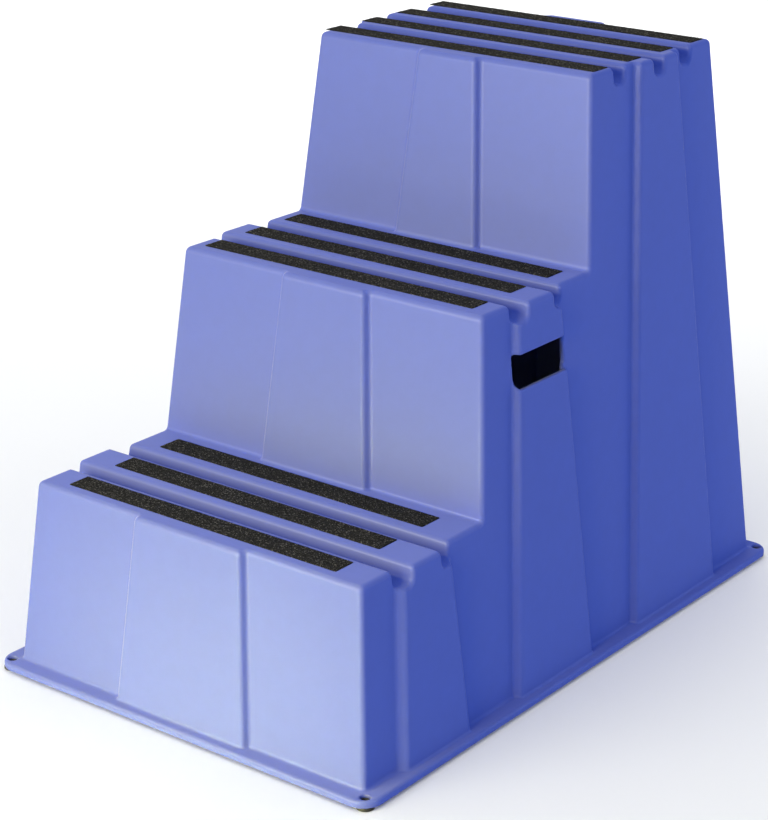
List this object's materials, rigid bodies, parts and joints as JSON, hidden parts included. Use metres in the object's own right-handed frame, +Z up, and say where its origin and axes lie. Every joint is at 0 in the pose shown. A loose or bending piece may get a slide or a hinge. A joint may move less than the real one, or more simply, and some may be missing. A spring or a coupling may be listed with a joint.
{
  "type": "mounting block",
  "caption": "Hollow moulded plastic mounting block for riders, with grooved treads, black grit strips, a hand hole in each side wall and rubber feet under a base flange.",
  "frame": {"origin": "on the floor, under the middle of the base flange (centre of the bounding box in plan)", "axes": "+Z up; +Y towards the high back of the steps (the way a rider climbs); +X towards the right side wall seen from the front; symmetric about X = 0 apart from the strips, which sit 5 mm to the left"},
  "size_m": [0.584, 0.906, 0.725],
  "materials": {
    "shell_plastic": "glossy blue moulded polyethylene",
    "grit": "black mineral grit on film",
    "foot_rubber": "matt black rubber"
  },
  "bodies": {
    "root": {"shell": "shell_plastic", "lower_strip_front": "grit", "lower_strip_middle": "grit", "lower_strip_rear": "grit", "middle_strip_front": "grit", "middle_strip_middle": "grit", "middle_strip_rear": "grit", "top_strip_1": "grit", "top_strip_2": "grit", "top_strip_3": "grit", "top_strip_4": "grit", "foot_front_left": "foot_rubber", "foot_front_right": "foot_rubber", "foot_back_left": "foot_rubber", "foot_back_right": "foot_rubber"}
  },
  "joints": []
}
